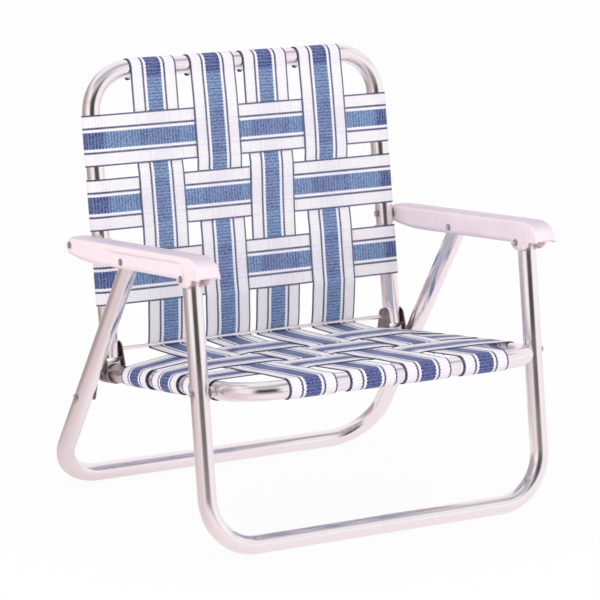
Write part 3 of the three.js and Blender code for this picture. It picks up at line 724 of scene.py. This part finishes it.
# rows are distances along the back's and the seat's tubes
weave = {
    "wrap": 13.6, "rodWrap": 3.9,  # from a tube's or the rod's middle to the middle of the tape round it
    "level": 14.65, "step": 0.75,  # the weave's middle, and how far over or under it a tape lies
    "crossing": 1.5,  # how far past a crossing a tape stays level
    "straps": (-136.0, -43.0, 43.0, 136.0),
    "rows": {"back": (292.1, 202.5, 98.2), "seat": (97.9, 185.3, 272.7)},
    "odd": {"back": 1, "seat": 0},  # row and strap numbers add up to odd or even where the strap is on top
    "rod": {"back": (0, 0), "seat": (hingeRod["forward"], hingeRod["up"])},
    "rodSteps": {"back": 24, "seat": 20}, "rodArc": 0.7,
    "rowEnd": 236.0, "barEnd": {"back": 264.0, "seat": 240.0},  # degrees that the ends wrap round
    "blend": ((5, 7), (-7, -5)),  # y and z from the rod, where the fold's bend starts and ends
    "daylight": {"back": 0.0, "seat": 0.8},  # painted shade where the floor hides daylight from the tapes
    "cover": 0.46, "coverEdge": 9.0, "show": 0.13,  # painted shade where a tape lies behind another one, and its stripe that shows through
    "tubeCover": (17.0, 5.0), "barCover": 12.0,  # how near its middle a tube lies behind the tape, for painted shade
    "rodClear": 2.0,  # above this height over the rod a long strap is on the back
    "seatRise": 0.04,  # of each millimetre behind the front row: the seat's weave rises towards the rod
    # how far each strap wanders sideways along its length, as fastened by hand
    "wander": (((0, -1.6), (380, -2.2), (450, 1.5), (560, 0.0)),
               ((0, 0.3), (160, 0.3), (380, -4.0), (450, 1.5), (560, 0.0)),
               ((0, 0.3), (190, -1.2), (300, -6.0), (380, -6.0), (450, -2.5), (560, 0.0)),
               ((0, -1.6), (160, -1.8), (280, -5.0), (380, -6.0), (450, -2.5), (560, 0.0))),
}
panels = {body: standMatrix(body) for body in ("back", "seat")}


def onPanel(body, x, along, level):  # a point of the back or seat: along its tubes and out from them
    local = (x, -level, along) if body == "back" else (x, -along, level)
    return tuple(part / mm for part in panels[body] @ (Vector(local) * mm))


def strapOver(body, row, strap):
    return (row + strap) % 2 == weave["odd"][body]


def seatLift(forward):
    return weave["seatRise"] * max(weave["rows"]["seat"][-1] - forward, 0.0)


def wovenRun(crossings, end, start=None):  # heights along a run: level at each crossing, eased between them
    keys = [start] if start else []
    reach = webbing["width"] / 2 + weave["crossing"]
    for centre, over in crossings:
        level = weave["level"] + (weave["step"] if over else -weave["step"])
        keys += [(centre - reach, level), (centre + reach, level)]
    keys.append(end)
    points = []
    for (a, levelA), (b, levelB) in zip(keys, keys[1:]):
        count = max(2, round(abs(b - a) / webbing["pitch"]))
        points += [(a + (b - a) * i / count, levelA + (levelB - levelA) * smoothStep(0, 1, i / count))
                   for i in range(count)]
    return points + [end]


def tidyPath(points, least=0.4):  # drops points that fall together
    kept = [points[0]]
    for point in points[1:]:
        if math.dist(point, kept[-1]) > least:
            kept.append(point)
    return kept


def wanderAt(wander, along):
    for (start, a), (end, b) in zip(wander, wander[1:]):
        if along <= end:
            return a + (b - a) * smoothStep(start, end, along)
    return wander[-1][1]


def makeStrap(name, path, toChair, behind, wander=((0, 0.0),)):
    # path is the middle of the tape; toChair puts a point of it and an offset across into the chair
    lengths = [0.0]
    for before, after in zip(path, path[1:]):
        lengths.append(lengths[-1] + math.dist(before, after))
    across, width, last = webbing["across"], webbing["width"], len(path) - 1

    def placeOf(column, row):
        return toChair(path[row], width * (column / across - 0.5) + wanderAt(wander, lengths[row]))

    piece = gridPiece(name, across, last, placeOf)
    layer = piece.data.uv_layers[0]
    layer.name = "strap"
    for corner in layer.data:
        u, v = corner.uv
        corner.uv = (u, lengths[round(v * last)] / width)
    # painted shade from what is behind the tape, and the stripe of a tape behind that shows through
    backed = piece.data.attributes.new("backed", "FLOAT", "POINT")
    under = piece.data.attributes.new("under", "FLOAT", "POINT")
    for vertex in piece.data.vertices:
        row = vertex.index // (across + 1)
        backed.data[vertex.index].value, under.data[vertex.index].value = behind(path[row])
    mend(piece)
    modify(piece, "SOLIDIFY", thickness=webbing["thickness"] * mm, offset=0.0)
    smooth(piece, 50)
    return piece, (width * mm, lengths[-1] * mm)


def stripeShade(off):  # how dark a tape's stripe shows through as painted shade, at a distance from its middle
    for start, yarn in reversed(webbing["plan"]):
        if abs(off) >= start:
            return webbing["shade"][yarn]


def seenBehind(offsets):  # painted shade: how far a point is covered from behind, and the faint stripe that shows through
    near = min(offsets, key=abs)
    half = webbing["width"] / 2
    if abs(near) > half:
        return 0.0, 0.0
    covered = weave["cover"] * smoothStep(half, half - weave["coverEdge"], abs(near))
    return covered, weave["show"] * stripeShade(near)


def makeRow(body, index, centre):
    tube, wrap, end = tubeX["seat"], weave["wrap"], weave["rowEnd"]
    crossings = [(x, not strapOver(body, index, strap)) for strap, x in enumerate(weave["straps"])]
    run = wovenRun(crossings, (tube, wrap), (-tube, wrap))
    path = tidyPath(arc((-tube, 0), wrap, 90 + end, 90) + run + arc((tube, 0), wrap, 90, 90 - end))
    margin = tube - weave["straps"][-1] - webbing["width"] / 2  # from the outer strap's edge to the tube

    def toChair(point, off):
        x, level = point
        if body == "seat" and level > 0:
            level += seatLift(centre + off) * min(max((tube - abs(x)) / margin, 0.0), 1.0)
        return onPanel(body, x, centre + off, level)

    # painted shade where a tube or a crossing tape is behind, or where the floor hides daylight
    def behind(point):
        far, near = weave["tubeCover"]
        onTube = smoothStep(tube - far, tube - near, abs(point[0]))
        covered, stripe = seenBehind([point[0] - strap for strap in weave["straps"]])
        return max(onTube, covered, weave["daylight"][body]), stripe

    piece, flat = makeStrap(f"{body}Row{index + 1}", path, toChair, behind)
    finishPiece(piece, "webbing", tape, f"{body}_row_{index + 1}", body=body)


def halfPath(body, strap):  # a long strap from the rod to its end round a bar: (along, level)
    wrap, bar, radius = weave["wrap"], barAt[body], weave["rodWrap"]
    rows = sorted((row, strapOver(body, index, strap)) for index, row in enumerate(weave["rows"][body]))
    woven = wovenRun(rows, (bar, wrap))
    if body == "seat":
        woven = [(along, level + seatLift(along)) for along, level in woven]
    rodAlong, rodLevel = weave["rod"][body]
    along, level = woven[0][0] - rodAlong, woven[0][1] - rodLevel
    angle = math.atan2(level, along) - math.acos(radius / math.hypot(along, level))
    meet = (rodAlong + radius * math.cos(angle), rodLevel + radius * math.sin(angle))
    steps = weave["rodSteps"][body]
    straight = [tuple(a + (b - a) * step / steps for a, b in zip(meet, woven[0])) for step in range(steps)]
    return straight + woven + arc((bar, 0), wrap, 90, 90 - weave["barEnd"][body])


def longPath(strap):  # side view (y, z) of one long strap, from its end behind the top bar to the front bar
    rodY, rodZ, _ = stands["back"]
    upper = [onPanel("back", 0, *point)[1:] for point in halfPath("back", strap)[::-1]]
    lower = [onPanel("seat", 0, *point)[1:] for point in halfPath("seat", strap)]
    start, end = (math.degrees(math.atan2(z - rodZ, y - rodY)) for y, z in (upper[-1], lower[0]))
    return tidyPath(upper + arc((rodY, rodZ), weave["rodWrap"], start, end, weave["rodArc"]) + lower)


def makeLongStrap(strap, centre):
    toBack, toSeat = panels["back"].inverted(), panels["seat"].inverted()

    def toChair(point, off):
        return centre + off, *point

    # painted shade round the bars, where a row is behind, and where the floor hides daylight
    def behind(point):
        place = Vector((0, *point)) * mm
        up, forward = (toBack @ place).z / mm, -(toSeat @ place).y / mm
        if max(up - barAt["back"], forward - barAt["seat"]) > -weave["barCover"]:
            return 1.0, 0.0
        body, along = ("back", up) if up > weave["rodClear"] else ("seat", forward)
        covered, stripe = seenBehind([along - row for row in weave["rows"][body]])
        return max(covered, weave["daylight"][body]), stripe

    number = strap + 1
    piece, flat = makeStrap(f"longStrap{number}", longPath(strap), toChair, behind, weave["wander"][strap])
    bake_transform(piece)
    finishPiece(piece, "webbing", tape, f"back_strap_{number}", f"seat_strap_{number}")


for body, rows in weave["rows"].items():
    for index, centre in enumerate(rows):
        makeRow(body, index, centre)
for strap, centre in enumerate(weave["straps"]):
    makeLongStrap(strap, centre)
print("webbing: woven")

# off is from a tape's middle, under from a tube's middle to the head; turns are degrees round the tube
strapScrew = {"head": 8.4, "height": 3.8, "shank": 1.0, "off": 30.5, "under": 14.2,
              "barTurn": {"back": -150.0, "seat": -137.0}, "rowTurn": 222.0,
              # share of the head's height and of its radius, over the dome and into the driver's recess
              "shape": ((0.0, 1.0), (0.35, 0.98), (0.75, 0.8), (0.95, 0.55), (1.0, 0.38),
                        (0.55, 0.2), (0.5, 0.0))}


def makeScrew():  # faces +X with the underside of its head at the origin
    radius, shank = strapScrew["head"] / 2, -strapScrew["shank"]
    head = [(strapScrew["height"] * up, radius * out) for up, out in strapScrew["shape"]]
    return turnedPiece("strapScrew", [(shank, 0.0), (shank, radius * 0.45), (0.0, radius * 0.5), *head])


def screwSpots(body):  # where each head sits and the way it faces, as (across, along, level)
    off, under = strapScrew["off"], strapScrew["under"]
    end = 0 if body == "back" else -1
    turn = math.radians(strapScrew["barTurn"][body])
    facing = Vector((0, math.cos(turn), math.sin(turn)))
    ends = [((centre + wander[end][1], barAt[body], 0), (off, 0, 0), facing)
            for centre, wander in zip(weave["straps"], weave["wander"])]
    for centre in weave["rows"][body]:
        for outward in sides.values():
            turn = math.radians(90 - outward * strapScrew["rowTurn"])
            facing = Vector((math.cos(turn), 0, math.sin(turn)))
            ends.append(((outward * tubeX["seat"], centre, 0), (0, off, 0), facing))
    return [(Vector(middle) + side * Vector(aside) + under * facing, facing)
            for middle, aside, facing in ends for side in (-1, 1)]


pattern = makeScrew()
for body in panels:
    screws = []
    for spot, facing in screwSpots(body):
        place, ahead = Vector(onPanel(body, *spot)), Vector(onPanel(body, *(spot + facing)))
        turn = Vector((1, 0, 0)).rotation_difference(ahead - place)
        matrix = Matrix.Translation(place * mm) @ turn.to_matrix().to_4x4()
        screws.append(copyPiece(pattern, "strapScrewCopy", matrix))
    pick(screws[0])
    for screw in screws:
        screw.select_set(True)
    bpy.ops.object.join()
    screws[0].name = body + "StrapScrews"
    finishPiece(screws[0], "rivet", screwMetal, body=body)
removePiece(pattern)
print("strap screws: driven")

studio = {
    "floor": -0.3, "floorSize": 40.0, "floorGlow": 0.92, "floorSheen": 0.85,
    "roomLight": 0.67, "overhead": 1.6,  # on the level, and how much stronger from straight above
    # what the metal sees round the room, as bearing from the front to the right, half width, soft edge,
    # where it fades in and is full (height in the room, metres away on the floor), colour
    "roomTints": ((-150, 30, 75, 0.75, 0.45, "#b7a5a1"), (-15, 19, 40, 0.75, 0.45, "#4a403d")),
    "floorTints": ((-115, 45, 85, 0.2, 0.42, "#ddcbcd"), (-150, 24, 58, 0.45, 0.95, "#a08b88"),
                   (-15, 18, 40, 0.6, 1.3, "#7d7070")),
    # sine of the height over the horizon, and the colour there
    "ceiling": ((0.0, "#ffffff"), (0.34, "#ffffff"), (0.38, "#ab9d9e"), (0.42, "#fffdfd"), (0.66, "#f6f2f8"),
                (0.85, "#a29ba8"), (0.97, "#dcdaea")),
}

# lamps are placed in metres and turned to the chair's middle
lamps = {
    "keyLamp": {"place": (-2.6, -1.7, 1.3), "size": 1.8, "power": 24, "tint": "#fffbf8"},
    "fillLamp": {"place": (1.4, -2.8, 1.7), "size": 1.8, "power": 12, "tint": "#f6f8ff"},
}
lampAim = Vector((0, 0, 0.3))
viewpoint = {"azimuth": -30.82, "elevation": 11.24, "roll": -0.05, "lens": 190.473, "sensor": 36.0,
             "place": (-2227.51, -3730.21, 1149.95)}


def bearing(tree, vector):  # angle round from the front, to the right, in radians
    split = addNode(tree, "SeparateXYZ", {"Vector": vector})
    front = addNode(tree, "Math", [split.outputs["Y"], -1.0], operation="MULTIPLY")
    return addNode(tree, "Math", [split.outputs["X"], front], operation="ARCTAN2")


def band(tree, azimuth, centre, inner, outer):  # 1 within inner degrees of a bearing, 0 beyond outer
    off = addNode(tree, "Math", [azimuth, math.radians(centre)], operation="SUBTRACT")
    off = addNode(tree, "Math", [off], operation="ABSOLUTE")
    return addNode(tree, "MapRange", [off, math.radians(inner), math.radians(outer), 1.0, 0.0],
                   interpolation_type="SMOOTHSTEP")


def roomTint(tree, tints, azimuth, depth, pale):  # a dark gap in front and a warm wall behind to the left
    tint = pale
    for centre, inner, outer, near, far, code in tints:
        reach = addNode(tree, "MapRange", [depth, near, far, 0.0, 1.0])
        inBand = band(tree, azimuth, centre, inner, outer)
        share = addNode(tree, "Math", [inBand, reach], operation="MULTIPLY")
        tint = addNode(tree, "Mix", {"Factor": share, "A": tint, "B": colour(code)}, data_type="RGBA")
    return tint


def seenStraight(tree, rays):  # 1 for what the camera sees, also through clear things
    straight, through = rays.outputs["Is Camera Ray"], rays.outputs["Is Transmission Ray"]
    return addNode(tree, "Math", [straight, through], operation="MAXIMUM")


def makeFloor():  # near white to the camera with a soft trace of shadow; the metal sees its tints
    floor = newPiece("studioFloor", bpy.ops.mesh.primitive_plane_add, size=studio["floorSize"],
                     location=(0, 0, studio["floor"] * mm))
    material, tree, shader = newMaterial("studio floor, matt white paint")
    feed(tree, shader, {"Base Color": colour("#fbf8f9"), "Roughness": 0.9, "Specular IOR Level": 0.0})
    rays = addNode(tree, "LightPath")
    glossy = rays.outputs["Is Glossy Ray"]
    place = addNode(tree, "NewGeometry").outputs["Position"]
    away = addNode(tree, "VectorMath", [place], operation="LENGTH")
    tinted = roomTint(tree, studio["floorTints"], bearing(tree, place), away, colour("#fcf1f5"))
    tint = addNode(tree, "Mix", {"Factor": glossy, "A": (1, 1, 1, 1), "B": tinted}, data_type="RGBA")
    white = addNode(tree, "Emission", {"Color": tint, "Strength": 1.0})
    seen = addNode(tree, "Math", [seenStraight(tree, rays), studio["floorGlow"]], operation="MULTIPLY")
    mirrored = addNode(tree, "Math", [glossy, studio["floorSheen"]], operation="MULTIPLY")
    share = addNode(tree, "Math", [seen, mirrored], operation="MAXIMUM")
    mix = addNode(tree, "MixShader", [share, shader, white])
    feed(tree, tree.nodes["Material Output"], {"Surface": mix})
    floor.data.materials.append(material)


def makeWorld():  # a white room; the metal also sees a dark gap, a warm wall and a lilac ceiling
    world = bpy.data.worlds.new("studio")
    bpy.context.scene.world = world
    world.use_nodes = True
    tree = world.node_tree
    tree.nodes.clear()
    toRoom = addNode(tree, "TexCoord").outputs["Generated"]
    split = addNode(tree, "SeparateXYZ", {"Vector": toRoom})
    height = split.outputs["Z"]
    stops = [(up, colour(code)) for up, code in studio["ceiling"]]
    ceiling = addNode(tree, "ValToRGB", {"Fac": height}, stops)
    front = addNode(tree, "MapRange", [split.outputs["Y"], -0.2, 0.1, 1.0, 0.0])
    above = addNode(tree, "Mix", {"Factor": front, "A": colour("#fbf5f7"), "B": ceiling}, data_type="RGBA")
    tinted = roomTint(tree, studio["roomTints"], bearing(tree, toRoom), height, above)
    rays = addNode(tree, "LightPath")
    sheen = addNode(tree, "Background", {"Color": tinted, "Strength": 1.0})
    low, high = studio["roomLight"], studio["roomLight"] * studio["overhead"]
    light = addNode(tree, "MapRange", [height, 0.0, 1.0, low, high])
    soft = addNode(tree, "Background", {"Color": colour("#fcfafe"), "Strength": light})
    white = addNode(tree, "Background", {"Color": (1, 1, 1, 1), "Strength": 1.0})
    lit = addNode(tree, "MixShader", [rays.outputs["Is Glossy Ray"], soft, sheen])
    room = addNode(tree, "MixShader", [seenStraight(tree, rays), lit, white])
    addNode(tree, "OutputWorld", {"Surface": room})


def makeLamp(name, plan):
    lamp = newPiece(name, bpy.ops.object.light_add, type="AREA", location=plan["place"])
    lamp.data.size = plan["size"]
    lamp.data.energy = plan["power"]
    lamp.data.color = colour(plan["tint"])[:3]
    lamp.visible_glossy = False  # the metal sees the room instead
    lamp.rotation_euler = (lampAim - Vector(plan["place"])).to_track_quat("-Z", "Y").to_euler()


def makeCamera():
    azimuth, elevation, roll = (math.radians(viewpoint[key]) for key in ("azimuth", "elevation", "roll"))
    level = math.cos(elevation)
    back = Vector((math.sin(azimuth) * level, -math.cos(azimuth) * level, math.sin(elevation)))
    right = (-back).cross(Vector((0, 0, 1))).normalized()
    up = back.cross(right)
    data = bpy.data.cameras.new("camera")
    data.lens = viewpoint["lens"]
    data.sensor_width = viewpoint["sensor"]
    data.clip_end = 100.0
    camera = bpy.data.objects.new("camera", data)
    bpy.context.scene.collection.objects.link(camera)
    turn = Matrix((right, up, back)).transposed().to_4x4() @ Matrix.Rotation(roll, 4, "Z")
    camera.matrix_world = Matrix.Translation(Vector(viewpoint["place"]) * mm) @ turn
    bpy.context.scene.camera = camera


makeFloor()
makeWorld()
for name, plan in lamps.items():
    makeLamp(name, plan)
makeCamera()
bpy.context.scene.view_settings.view_transform = "Standard"
print("studio: ready")
